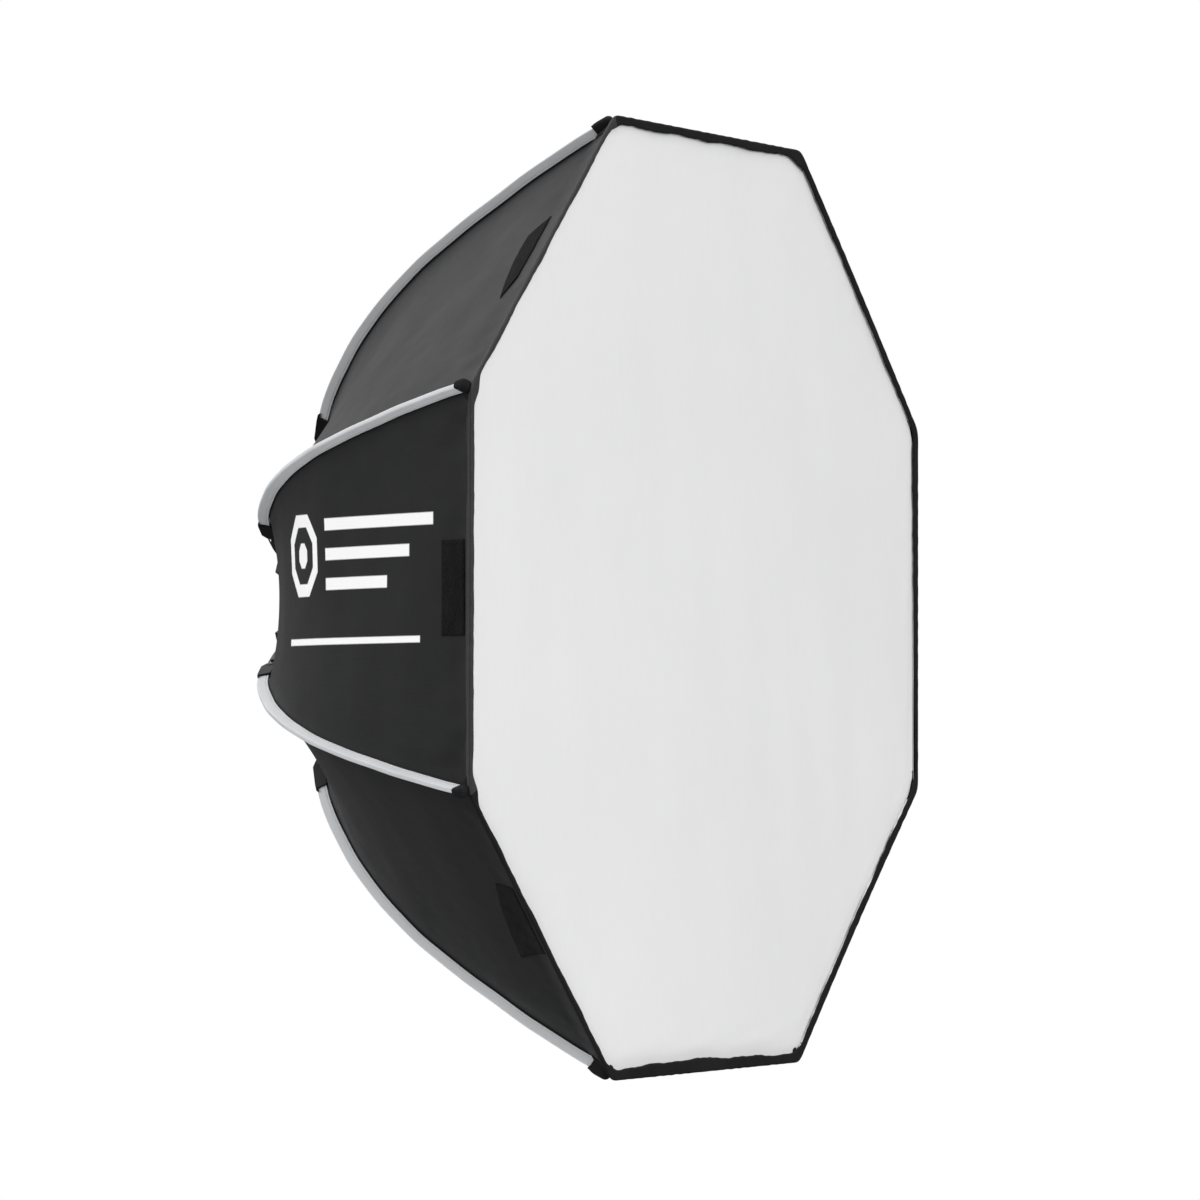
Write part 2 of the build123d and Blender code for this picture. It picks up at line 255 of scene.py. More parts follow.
class Nodes:
    """Short spelling for the node trees below."""

    def __init__(self, nt):
        self.nt = nt

    def link(self, a, b):
        self.nt.links.new(a, b)

    def coord(self, kind, scale=(1, 1, 1), offset=(0, 0, 0)):
        if kind == "UV":
            c = self.nt.nodes.new("ShaderNodeUVMap")
            c.uv_map = "UVMap"
            src = c.outputs[0]
        else:
            c = self.nt.nodes.new("ShaderNodeTexCoord")
            src = c.outputs["Object"]
        m = self.nt.nodes.new("ShaderNodeMapping")
        m.inputs["Scale"].default_value = scale
        m.inputs["Location"].default_value = offset
        self.link(src, m.inputs[0])
        return m.outputs[0]

    def noise(self, vec, scale, detail=3.0, rough=0.5, dist=0.0):
        n = self.nt.nodes.new("ShaderNodeTexNoise")
        n.inputs["Scale"].default_value = scale
        n.inputs["Detail"].default_value = detail
        n.inputs["Roughness"].default_value = rough
        n.inputs["Distortion"].default_value = dist
        self.link(vec, n.inputs["Vector"])
        return n.outputs["Fac"]

    def voronoi(self, vec, scale, feature="F1"):
        n = self.nt.nodes.new("ShaderNodeTexVoronoi")
        n.feature = feature
        n.inputs["Scale"].default_value = scale
        self.link(vec, n.inputs["Vector"])
        return n.outputs["Distance"]

    def wave(self, vec, scale, direction="X", dist=0.0, detail=0.0, dscale=1.0):
        n = self.nt.nodes.new("ShaderNodeTexWave")
        n.bands_direction = direction
        n.inputs["Scale"].default_value = scale
        n.inputs["Distortion"].default_value = dist
        n.inputs["Detail"].default_value = detail
        n.inputs["Detail Scale"].default_value = dscale
        self.link(vec, n.inputs["Vector"])
        return n.outputs["Fac"]

    def ramp(self, fac, stops):
        n = self.nt.nodes.new("ShaderNodeValToRGB")
        e = n.color_ramp.elements
        while len(e) < len(stops):
            e.new(0.5)
        for i, (p, c) in enumerate(stops):
            e[i].position = p
            e[i].color = (*c, 1) if isinstance(c, tuple) else (c, c, c, 1)
        self.link(fac, n.inputs[0])
        return n.outputs[0]

    def span(self, fac, lo, hi, to_lo, to_hi):
        n = self.nt.nodes.new("ShaderNodeMapRange")
        n.inputs[1].default_value = lo
        n.inputs[2].default_value = hi
        n.inputs[3].default_value = to_lo
        n.inputs[4].default_value = to_hi
        self.link(fac, n.inputs[0])
        return n.outputs[0]

    def math(self, op, a, b=None, clamp=False):
        n = self.nt.nodes.new("ShaderNodeMath")
        n.operation = op
        n.use_clamp = clamp
        for i, v in enumerate((a, b)):
            if v is None:
                continue
            if isinstance(v, (int, float)):
                n.inputs[i].default_value = v
            else:
                self.link(v, n.inputs[i])
        return n.outputs[0]

    def mix(self, fac, a, b):
        n = self.nt.nodes.new("ShaderNodeMix")
        n.data_type = "RGBA"
        for i, v in ((0, fac), (6, a), (7, b)):
            if isinstance(v, (int, float)) and i == 0:
                n.inputs[0].default_value = v
            elif isinstance(v, tuple):
                n.inputs[i].default_value = (*v, 1)
            else:
                self.link(v, n.inputs[i])
        return n.outputs[2]

    def bump(self, b, parts):
        """parts: (height, strength, distance in metres), laid one on another."""
        last = None
        for h, strength, dist in parts:
            n = self.nt.nodes.new("ShaderNodeBump")
            n.inputs["Strength"].default_value = strength
            n.inputs["Distance"].default_value = dist
            self.link(h, n.inputs["Height"])
            if last is not None:
                self.link(last, n.inputs["Normal"])
            last = n.outputs[0]
        self.link(last, b.inputs["Normal"])


def weave(N, vec_scale, pitch, offset=(0, 0, 0)):
    """A plain weave on the UV map: pitch is the thread spacing in metres."""
    v = N.coord("UV", offset=offset)
    f = 2 * math.pi / 20.0 / pitch
    warp = N.wave(v, f, "X", 0.3, 1.0, 2.0)
    weft = N.wave(v, f, "Y", 0.3, 1.0, 2.0)
    return N.math("MULTIPLY", warp, weft), warp, weft


def fabric_cover(name, mark=False):
    m, nt, b = new_mat(name)
    N = Nodes(nt)
    v = N.coord("UV")
    big = N.noise(v, 5.0, 3.0, 0.55)
    fine = N.noise(N.coord("UV", scale=(1, 1, 1)), 260.0, 3.0, 0.6)
    wv, warp, weft = weave(N, 1, 0.0011)
    base = N.ramp(big, [(0.25, (0.0095, 0.0098, 0.0106)), (0.75, (0.0132, 0.0136, 0.0146))])
    dark = N.ramp(N.math("ADD", N.math("MULTIPLY", fine, 0.5), N.math("MULTIPLY", wv, 0.5)),
                  [(0.2, 0.72), (0.6, 1.0)])
    mul = nt.nodes.new("ShaderNodeMix")
    mul.data_type = "RGBA"
    mul.blend_type = "MULTIPLY"
    mul.inputs[0].default_value = 0.8
    N.link(base, mul.inputs[6])
    N.link(dark, mul.inputs[7])
    col = mul.outputs[2]
    rough = N.span(N.noise(v, 14.0, 4.0, 0.6), 0.3, 0.7, 0.50, 0.59)
    if mark:
        sep = nt.nodes.new("ShaderNodeSeparateXYZ")
        uvn = nt.nodes.new("ShaderNodeUVMap")
        uvn.uv_map = "UVMap"
        N.link(uvn.outputs[0], sep.inputs[0])
        # u is metres across the panel, 40 m of offset taken off; l is metres from the rear edge
        up = N.math("MULTIPLY", N.math("SUBTRACT", sep.outputs[0], 4.0), -1.0)
        ln = sep.outputs[1]

        def soft_less(value, limit, edge=0.0005):
            return N.span(value, limit - edge, limit + edge, 1.0, 0.0)

        def box(cx, cu, hx, hu):
            dx = N.math("SUBTRACT", N.math("ABSOLUTE", N.math("SUBTRACT", ln, cx)), hx)
            du = N.math("SUBTRACT", N.math("ABSOLUTE", N.math("SUBTRACT", up, cu)), hu)
            return soft_less(N.math("MAXIMUM", dx, du), 0.0)

        def octagon(cx, cu, rad):
            dx = N.math("ABSOLUTE", N.math("SUBTRACT", ln, cx))
            du = N.math("ABSOLUTE", N.math("SUBTRACT", up, cu))
            diag = N.math("MULTIPLY", N.math("ADD", dx, du), 0.70711)
            return N.math("SUBTRACT", N.math("MAXIMUM", N.math("MAXIMUM", dx, du), diag), rad)

        l0, l1 = length_at_x(121) * MM, length_at_x(357) * MM
        r0 = 0.036
        oc = octagon(l0 + r0, 0.036, r0 - 0.0055)
        ring = soft_less(N.math("ABSOLUTE", oc), 0.0055)
        dot = soft_less(octagon(l0 + r0, 0.036, 0.011), 0.0)
        rest0 = l0 + 2 * r0 + 0.018
        bars = []
        for i, (hh, ll) in enumerate(((0.0052, 1.0), (0.0052, 0.8), (0.0052, 0.6))):
            half = (l1 - rest0) * ll / 2
            bars.append(box(rest0 + half, 0.062 - 0.026 * i, half, hh))
        bars.append(box((l0 + l1 - 0.02) / 2, -0.040, (l1 - l0 - 0.02) / 2, 0.0028))
        mask = N.math("MAXIMUM", ring, dot)
        for bb in bars:
            mask = N.math("MAXIMUM", mask, bb)
        worn = N.span(fine, 0.2, 0.34, 0.92, 1.0)
        mask = N.math("MULTIPLY", mask, worn, True)
        col = N.mix(mask, col, (0.94, 0.94, 0.94))
    N.link(col, b.inputs["Base Color"])
    N.link(rough, b.inputs["Roughness"])
    b.inputs["Specular IOR Level"].default_value = 0.30
    b.inputs["Sheen Weight"].default_value = 0.04
    b.inputs["Sheen Roughness"].default_value = 0.4
    crease = N.noise(N.coord("UV", scale=(1.0, 0.6, 1.0)), 26.0, 4.0, 0.55, 0.6)
    N.bump(b, [(crease, 0.25, 0.0012), (wv, 0.35, 0.00012), (fine, 0.2, 0.0001)])
    return m


def lining():
    m, nt, b = new_mat("lining_silver")
    N = Nodes(nt)
    v = N.coord("UV")
    peb = N.voronoi(v, 420.0)
    big = N.noise(v, 9.0, 4.0, 0.6)
    N.link(N.ramp(big, [(0.3, (0.62, 0.63, 0.64)), (0.7, (0.76, 0.77, 0.78))]), b.inputs["Base Color"])
    N.link(N.span(big, 0.3, 0.7, 0.30, 0.42), b.inputs["Roughness"])
    b.inputs["Metallic"].default_value = 0.85
    N.bump(b, [(big, 0.4, 0.002), (peb, 0.5, 0.0003)])
    return m


def binding(name, shine):
    m, nt, b = new_mat(name)
    N = Nodes(nt)
    v = N.coord("UV")
    ribs = N.wave(v, 160.0, "Y", 0.4, 1.0, 3.0)
    fine = N.noise(v, 500.0, 3.0, 0.6)
    big = N.noise(v, 22.0, 3.0, 0.6)
    base = N.ramp(big, [(0.3, (0.0085, 0.0085, 0.0089)), (0.7, (0.0135, 0.0135, 0.0140))])
    # two rows of stitches along the tape: u is metres round the section, v metres along the rim
    sep = nt.nodes.new("ShaderNodeSeparateXYZ")
    uvn = nt.nodes.new("ShaderNodeUVMap")
    uvn.uv_map = "UVMap"
    N.link(uvn.outputs[0], sep.inputs[0])
    mask = None
    for row in (0.0032, 0.0232):
        near = N.span(N.math("ABSOLUTE", N.math("SUBTRACT", sep.outputs[0], row)), 0.00022, 0.00042, 1.0, 0.0)
        ph = N.math("FRACT", N.math("MULTIPLY", sep.outputs[1], 1 / 0.0035))
        dash = N.span(N.math("ABSOLUTE", N.math("SUBTRACT", ph, 0.5)), 0.34, 0.40, 1.0, 0.0)
        s = N.math("MULTIPLY", near, dash)
        mask = s if mask is None else N.math("MAXIMUM", mask, s)
    N.link(N.mix(mask, base, (0.024, 0.024, 0.025)), b.inputs["Base Color"])
    N.link(N.span(fine, 0.3, 0.7, 0.62, 0.76), b.inputs["Roughness"])
    b.inputs["Specular IOR Level"].default_value = shine
    b.inputs["Sheen Weight"].default_value = 0.05 * shine
    b.inputs["Sheen Roughness"].default_value = 0.5
    N.bump(b, [(big, 0.5, 0.0012), (ribs, 0.5, 0.0002), (fine, 0.3, 0.00015), (mask, 0.8, 0.0003)])
    return m


def nap():
    m, nt, b = new_mat("loop_nap")
    N = Nodes(nt)
    v = N.coord("UV")
    fuzz = N.noise(v, 900.0, 4.0, 0.75)
    tuft = N.voronoi(v, 520.0)
    big = N.noise(v, 60.0, 3.0, 0.6)
    N.link(N.ramp(N.math("ADD", N.math("MULTIPLY", fuzz, 0.6), N.math("MULTIPLY", big, 0.4)),
                  [(0.35, (0.0012, 0.0012, 0.0014)), (0.65, (0.0085, 0.0086, 0.0090))]), b.inputs["Base Color"])
    N.link(N.span(fuzz, 0.3, 0.7, 0.82, 0.98), b.inputs["Roughness"])
    b.inputs["Specular IOR Level"].default_value = 0.10
    b.inputs["Sheen Weight"].default_value = 0.02
    b.inputs["Sheen Roughness"].default_value = 0.6
    N.bump(b, [(big, 0.4, 0.0008), (tuft, 0.9, 0.0006), (fuzz, 0.7, 0.0005)])
    return m


def rib_paint():
    m, nt, b = new_mat("rib_satin_grey")
    N = Nodes(nt)
    v = N.coord("UV", scale=(1, 0.02, 1))
    streak = N.noise(v, 900.0, 3.0, 0.6)
    big = N.noise(N.coord("UV"), 18.0, 4.0, 0.6)
    N.link(N.ramp(N.math("ADD", N.math("MULTIPLY", streak, 0.5), N.math("MULTIPLY", big, 0.5)),
                  [(0.35, (0.525, 0.536, 0.552)), (0.65, (0.595, 0.606, 0.622))]), b.inputs["Base Color"])
    N.link(N.span(big, 0.3, 0.7, 0.44, 0.56), b.inputs["Roughness"])
    b.inputs["Metallic"].default_value = 0.0
    N.bump(b, [(streak, 0.25, 0.00012), (big, 0.15, 0.0006)])
    return m


def diffuser_cloth():
    m, nt, b = new_mat("diffuser_cloth")
    N = Nodes(nt)
    v = N.coord("UV")
    wv, warp, weft = weave(N, 1, 0.0007)
    slub = N.noise(N.coord("UV", scale=(1.0, 0.12, 1.0)), 240.0, 3.0, 0.6)
    big = N.noise(v, 4.0, 3.0, 0.5)
    tone = N.math("ADD", N.math("MULTIPLY", slub, 0.35), N.math("MULTIPLY", big, 0.65))
    N.link(N.ramp(tone, [(0.3, (0.835, 0.836, 0.840)), (0.7, (0.875, 0.875, 0.876))]), b.inputs["Base Color"])
    N.link(N.span(slub, 0.3, 0.7, 0.78, 0.92), b.inputs["Roughness"])
    b.inputs["Specular IOR Level"].default_value = 0.3
    b.inputs["Sheen Weight"].default_value = 0.1
    crease = N.noise(N.coord("UV", scale=(1.0, 0.35, 1.0)), 16.0, 4.0, 0.55, 0.4)
    N.bump(b, [(crease, 0.30, 0.0022), (wv, 0.25, 0.0001), (slub, 0.2, 0.0001)])
    return m


def hard(name, lo, hi, rough, metallic=0.0, grain=900.0, depth=0.00008, brushed=None, spec=0.5, coat=0.0):
    """Moulded plastic, paint or metal on object coordinates, with grain and handling wear."""
    m, nt, b = new_mat(name)
    N = Nodes(nt)
    v = N.coord("Object")
    g = N.noise(v if brushed is None else N.coord("Object", scale=brushed), grain, 3.0, 0.6)
    big = N.noise(v, 30.0, 5.0, 0.65)
    mixf = N.math("ADD", N.math("MULTIPLY", g, 0.4), N.math("MULTIPLY", big, 0.6))
    geo = nt.nodes.new("ShaderNodeNewGeometry")
    edge = N.span(geo.outputs["Pointiness"], 0.52, 0.60, 0.0, 0.55)
    base = N.ramp(mixf, [(0.35, lo), (0.65, hi)])
    light = tuple(min(1.0, c * 1.6 + 0.01) for c in hi)
    N.link(N.mix(N.math("MULTIPLY", edge, big), base, light), b.inputs["Base Color"])
    N.link(N.span(big, 0.3, 0.7, rough - 0.05, rough + 0.07), b.inputs["Roughness"])
    b.inputs["Metallic"].default_value = metallic
    b.inputs["Specular IOR Level"].default_value = spec
    b.inputs["Coat Weight"].default_value = coat
    N.bump(b, [(g, 0.35, depth), (big, 0.1, 0.0004)])
    return m


M_COVER = fabric_cover("cover_satin")
M_MARK = fabric_cover("cover_satin_marked", mark=True)
M_LINING = lining()
M_HEM = binding("hem_binding", 0.68)
M_EDGE = binding("hem_binding_matt", 0.10)
M_NAP = nap()
M_RIB = rib_paint()
M_DIFF = diffuser_cloth()
M_SOCKET = hard("socket_moulded", (0.006, 0.006, 0.0065), (0.011, 0.011, 0.0115), 0.50, 0.0, 1400.0, 0.00006, spec=0.22)
M_PLASTIC = hard("hub_moulded", (0.018, 0.018, 0.0185), (0.030, 0.030, 0.031), 0.55, 0.0, 1100.0, 0.00010)
M_PAINT = hard("arm_paint", (0.010, 0.010, 0.0105), (0.018, 0.018, 0.0185), 0.42, 0.0, 700.0, 0.00005, spec=0.35, coat=0.05)
M_ZINC = hard("zinc_plate", (0.46, 0.47, 0.48), (0.62, 0.63, 0.64), 0.32, 0.95, 1200.0, 0.00003)
M_WIRE = hard("drawn_wire", (0.20, 0.20, 0.205), (0.34, 0.34, 0.35), 0.36, 0.9, 1500.0, 0.00002, brushed=(0.1, 1, 1))
M_MOUNT = hard("cast_mount", (0.52, 0.53, 0.55), (0.66, 0.67, 0.69), 0.36, 0.95, 900.0, 0.00004, brushed=(1, 0.15, 0.15))

# ---------------------------------------------------------------- cover: half panels, one each side of a rib
SAG_WAVES = waves(11, 7, 90, 260)
FINE_WAVES = waves(23, 9, 22, 60)


def sag_mm(length):
    """How far the cloth between two ribs hangs in at its middle, by distance from the rear edge."""
    v = np.clip(length / COVER_LEN[-1], 0, 1)
    return (18.6 * (1 - v) ** 1.8 + 1.4) * (1 - smooth01((length - (COVER_LEN[-1] - 26)) / 26))


def relief(panel, tau, length, half):
    """Small unevenness of the cloth, mm, none along the ribs. tau: mm across the panel from its middle."""
    edge = smooth01((half - np.abs(tau)) / 26.0)
    lo = field(SAG_WAVES, tau + 611.0 * panel, length) * 0.9
    near = smooth01((length - (COVER_LEN[-1] - 75)) / 70.0)
    corner = smooth01((np.abs(tau) / np.maximum(half, 1) - 0.55) / 0.4)
    fi = field(FINE_WAVES, tau + 611.0 * panel, length * 0.7) * (0.10 + 0.30 * near + 0.55 * near * corner)
    rim = 1 - smooth01((length - (COVER_LEN[-1] - 9)) / 9)
    return (lo * 0.8 + fi) * edge * rim


def panel_of(k, sign):
    return (k + 1) % 8 if sign > 0 else k


# how far each rib's corner of the rim stands out from the regular octagon, mm: the rim is a little taller than wide
CORNER_OUT = (0.9, 5.3, 5.6, 0.0, 0.0, 6.6, 6.9, 1.8)


RIM_BOW = {1: 1.2, 7: -2.6}        # and how far an edge bows out in its middle


def rim_out(panel, tau):
    """The same along a panel's edge; tau runs from the panel's lower rib to its higher one."""
    lower, higher = CORNER_OUT[(panel - 1) % 8], CORNER_OUT[panel % 8]
    share = np.clip(tau / (2 * RIM_R * S8) + 0.5, 0, 1)
    return lower + (higher - lower) * share + RIM_BOW.get(panel, 0.0) * 4 * share * (1 - share)


def cloth_grid(panel, length, tau):
    """Outer face of a panel at mm from the rear edge and mm across from its middle, with the texture coordinates."""
    X, R = cover_at(length)
    half = R * S8
    h = R * C8 - sag_mm(length) * (1 - (np.abs(tau) / half) ** 2) + relief(panel, tau, length, half)
    h = h + rim_out(panel, tau) * smooth01((length - (COVER_LEN[-1] - 34)) / 30.0)
    a = math.radians(45.0 * panel)
    g = np.stack([X, h * math.cos(a) - tau * math.sin(a), h * math.sin(a) + tau * math.cos(a)], -1) * MM
    return g, np.stack([(tau * MM) + panel * 1.0, length * MM], -1)


def half_surface(k, sign, rows, cols):
    """Outer face of the half panel on side sign of rib k: rows are mm from the rear edge, cols 0 at the rib to 1 at the panel's middle."""
    panel = panel_of(k, sign)
    L, U = np.meshgrid(rows, cols, indexing="ij")
    half = cover_at(L)[1] * S8
    g, uv = cloth_grid(panel, L, -half * (1 - U) * sign)
    return g, uv, panel


def outward_of(g):
    o = g.copy()
    o[..., 0] = -0.35 * np.linalg.norm(g[..., 1:], axis=-1)
    return o


covers = {}
SKIRT = 42.0        # the cover's first stretch belongs to the rear cone
ROWS = np.unique(np.r_[np.linspace(SKIRT, COVER_LEN[-1] - 60, 60), np.linspace(COVER_LEN[-1] - 60, COVER_LEN[-1], 22)])
COLS = np.unique(np.r_[np.linspace(0, 0.1, 5), np.linspace(0.1, 1, 27)])


def bend_piece(o, k, sign):
    point(k, BEND_0[0], BEND_0[1], sign * BEND_0[2])
    point(k, BEND_1[0], BEND_1[1], sign * BEND_1[2])
    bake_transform(o)


for k in range(8):
    for letter, sign in (("a", 1), ("b", -1)):
        g, uv, panel = half_surface(k, sign, ROWS, COLS)
        mats = (M_MARK if panel in (4,) else M_COVER, M_LINING)
        o = shell(f"panel_{k + 1}_{letter}", g, uv, 0.0010, mats, outward_of(g))
        bend_piece(o, k, sign)
        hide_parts(f"cover_{k + 1}_{letter}")
        covers[(k, letter)] = o

# ---------------------------------------------------------------- front hem
HEM_SECTION = [
    (401.4, -9.9), (403.2, -7.9), (405.6, -5.6), (408.0, -3.0), (409.8, -1.1), (411.0, -0.25), (411.9, -0.9),
    (412.1, -2.4), (411.9, -4.6), (411.8, -6.6), (411.5, -7.9), (410.8, -8.4), (410.1, -8.0), (409.8, -6.4),
    (409.6, -4.9), (408.8, -4.5), (407.6, -5.9), (405.6, -8.0), (403.4, -10.0), (401.9, -11.2)]
HEM_WAVES = waves(37, 6, 35, 140, 0.0, 0.05)
HEM_FINE = waves(41, 6, 9, 26, 0.0, 0.05)
STRIP_WAVES = waves(67, 6, 9, 40)


def rim_extra(panel, tau):
    """How much wider the front face is than 9 mm, along the rim, mm, before the corner."""
    base = field(HEM_WAVES, tau + 400.0 * panel, 0 * tau) * 0.7 + field(HEM_FINE, tau + 400.0 * panel, 0 * tau) * 0.14
    if panel == 6:      # the bottom edge's hem has rolled further in
        base = base + 2.8 + 1.6 * np.cos(tau / 172.0 * math.pi + 0.6)
    if panel == 0:
        base = base - 0.8 + 3.2 * tau / 172.0
    return base + {1: -0.6, 2: -0.2, 3: -2.6, 4: -1.9, 5: -2.6}.get(panel, 0.0)


CORNER_FILL = ((0.3, 14), (4.2, 21), (1.6, 14), (3.4, 17), (3.4, 17), (1.6, 14), (2.6, 15), (1.8, 15))


def half_hem(k, sign):
    panel = panel_of(k, sign)
    cols = np.unique(np.r_[np.linspace(0, 0.12, 16), np.linspace(0.12, 1, 80)])
    sec = spline(HEM_SECTION, 44, closed=True)
    per = np.r_[0, np.cumsum(np.linalg.norm(np.diff(sec, axis=0), axis=1))]
    half = RIM_R * S8
    tau = -half * (1 - cols) * sign
    s_rib = half * cols / C8 * C8          # mm along the edge from the corner
    rings = np.empty((len(cols), len(sec), 3))
    a = math.radians(45.0 * panel)
    extra = rim_extra(panel, tau)
    fill, reach = CORNER_FILL[k]
    corner = smooth01(1 - s_rib / reach)
    edge_fade = smooth01(s_rib / 20.0)      # both halves of a corner agree there
    extra = extra * edge_fade + fill * corner
    out_by = rim_out(panel, tau)
    roll = field(HEM_FINE, tau * 0.8 + 400.0 * panel + 57, 0 * tau) * 0.16 * edge_fade
    round_in = 1.5 * np.clip(1 - s_rib / 9.0, 0, 1) ** 2
    for i in range(len(cols)):
        x, h = sec[:, 0].copy(), sec[:, 1].copy()
        inner = np.clip((-h - 2.6) / 3.4, 0, 1) * (x > 409.4)
        h = h - inner * extra[i] + roll[i] * (x > 404) - round_in[i]
        x = x + 0.35 * roll[i] * (x > 408)
        ap = RIM_AP + h + out_by[i]
        scale = ap / RIM_AP
        t = tau[i] * scale                  # corners mitre on the rib plane
        rings[i, :, 0] = x
        rings[i, :, 1] = ap * math.cos(a) - t * math.sin(a)
        rings[i, :, 2] = ap * math.sin(a) + t * math.cos(a)
    uv = np.stack([np.repeat(per[None], len(cols), 0), np.repeat((tau + 400.0 * panel)[:, None], len(sec), 1)], -1) * MM
    o = tube(f"hem_{k + 1}_{'a' if sign > 0 else 'b'}", rings * MM, uv.reshape(-1, 2), (M_HEM if panel in (3, 4) else M_EDGE,), 60.0)
    return o


for k in range(8):
    for letter, sign in (("a", 1), ("b", -1)):
        o = half_hem(k, sign)
        bend_piece(o, k, sign)

# ---------------------------------------------------------------- loop strips on the panels, behind the hem
# corners (x, mm across from the panel's middle): rear and front on the low side, front and rear on the high side
STRIP = ((369.0, -40.0), (399.5, -40.0), (399.5, 40.0), (369.0, 40.0))
STRIPS = {3: ((361.0, -54.0), (383.0, -67.0), (384.0, 14.0), (374.4, 38.1)),
          4: ((369.0, -43.0), (399.5, -43.0), (399.5, 38.0), (369.0, 38.0)),
          5: ((372.9, -42.5), (399.5, -51.5), (398.0, 30.0), (352.0, 60.0))}
STRIP_BOW = {3: 5.0, 5: 5.0}        # how far the rear edge bows back, mm
for k in range(8):
    for letter, sign in (("a", 1), ("b", -1)):
        panel = panel_of(k, sign)
        lo_r, lo_f, hi_f, hi_r = [np.array([length_at_x(p[0]), p[1]]) for p in STRIPS.get(panel, STRIP)]
        v = np.linspace(0, 1, 30)[:, None]
        low, high = lo_r + v * (lo_f - lo_r), hi_r + v * (hi_f - hi_r)
        u0 = -low[:, 1] / (high[:, 1] - low[:, 1])
        t = np.linspace(0, 1, 34)[None]
        u = u0[:, None] * t if sign > 0 else 1 - (1 - u0[:, None]) * t
        L = low[:, :1] + u * (high[:, :1] - low[:, :1]) - STRIP_BOW.get(panel, 0.0) * 4 * u * (1 - u) * (1 - v)
        tau = low[:, 1:] + u * (high[:, 1:] - low[:, 1:])
        g, uv = cloth_grid(panel, L, tau)
        nm = grid_normals(g)
        if float((nm * outward_of(g)).sum()) < 0:
            nm = -nm
        rowi, coli = np.arange(30)[:, None] / 1.4, np.arange(34)[None] / 1.4
        lift = 0.35 + 1.0 * np.minimum(1, np.minimum(np.minimum(rowi, rowi[::-1]), coli) * 0.8 + 0.2)
        lift = lift + 0.10 * field(STRIP_WAVES, tau + 90.0 * panel, L)
        g = g + nm * lift[..., None] * MM
        o = shell(f"loop_strip_{k + 1}_{letter}", g, uv, 0.0012, (M_NAP,), outward_of(g), mat_in=0, sharp=60)
        bend_piece(o, k, sign)
        if letter == "a":
            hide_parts(f"loop_patch_{k + 1}")

# ---------------------------------------------------------------- rear collar, from the hub to the cover's rear edge
COLLAR = spline([(23.0, 94.5), (30.0, 114.0), (38.0, 138.0), (44.6, 157.8)], 22)
for k in range(8):
    for letter, sign in (("a", 1), ("b", -1)):
        cols = np.linspace(0, 1, 16)
        panel = panel_of(k, sign)
        v = np.linspace(0, 1, len(COLLAR))
        X = np.repeat(COLLAR[:, :1], len(cols), 1)
        R = np.repeat(COLLAR[:, 1:], len(cols), 1)
        U = np.repeat(cols[None], len(COLLAR), 0)
        half, ap = R * S8, R * C8
        tau = -half * (1 - U) * sign
        q = np.abs(tau) / half
        bow = 2.2 * np.sin(np.pi * v)[:, None] * (0.6 + 0.4 * (1 - q * q))
        h = ap - (v[:, None] ** 1.15 * sag_mm(0.0) * (1 - q * q)) - bow * 0.3 + field(FINE_WAVES, tau * 1.2 + 211 * panel, R) * 0.25 * np.sin(np.pi * v)[:, None] * smooth01((half - np.abs(tau)) / 14)
        a = math.radians(45.0 * panel)
        g = np.stack([X - bow * 0.8, h * math.cos(a) - tau * math.sin(a), h * math.sin(a) + tau * math.cos(a)], -1) * MM
        uv = np.stack([tau * MM + panel, (R - 158.0) * MM], -1)
        L, U = np.meshgrid(np.r_[np.linspace(3.0, SKIRT, 14), SKIRT + 2.5], cols, indexing="ij")
        g2, uv2 = cloth_grid(panel, L, -cover_at(L)[1] * S8 * (1 - U) * sign)
        nm = grid_normals(g2)
        if float((nm * outward_of(g2)).sum()) < 0:
            nm = -nm
        g2[-1] -= nm[-1] * 0.0011
        g, uv = np.vstack([g, g2]), np.vstack([uv, uv2])
        o = shell(f"collar_{k + 1}_{letter}", g, uv, 0.0009, (M_COVER, M_LINING), outward_of(g))
        point(k, 28.0, 112.0, 0)
        point(k, 68.0, 178.0, 0)
        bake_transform(o)
        if letter == "a" and k == 0:
            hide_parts("rear_collar")

# ---------------------------------------------------------------- ribs
HALF_SECTION = [(0.0, 4.85), (1.2, 4.82), (1.9, 4.62), (2.3, 4.2), (2.42, 3.6), (2.42, -2.2), (2.1, -2.4),
                (2.1, -2.75), (2.6, -2.95), (2.6, -4.0), (2.4, -4.15)]
SECTION = np.array(HALF_SECTION + [(-s, h) for s, h in reversed(HALF_SECTION[1:])])
_d0 = RIB_FINE[0] - RIB_FINE[3]
_d0 /= np.linalg.norm(_d0)
_d1 = RIB_FINE[-1] - RIB_FINE[-4]
_d1 /= np.linalg.norm(_d1)
RIB_PATH = np.vstack([RIB_FINE[0] + _d0 * 9.5, RIB_FINE[0] + _d0 * 4.0, RIB_FINE])
RIB_LEN = np.r_[0, np.cumsum(np.linalg.norm(np.diff(RIB_PATH, axis=0), axis=1))]
_per = np.r_[0, np.cumsum(np.linalg.norm(np.diff(SECTION, axis=0), axis=1))]


def rib_lean(k, x):
    """Sideways set of a rib towards its tip, mm: the fifth stands a little off its plane."""
    return -3.2 * smooth01((np.asarray(x) - 190.0) / 230.0) if k == 4 else 0.0 * np.asarray(x)


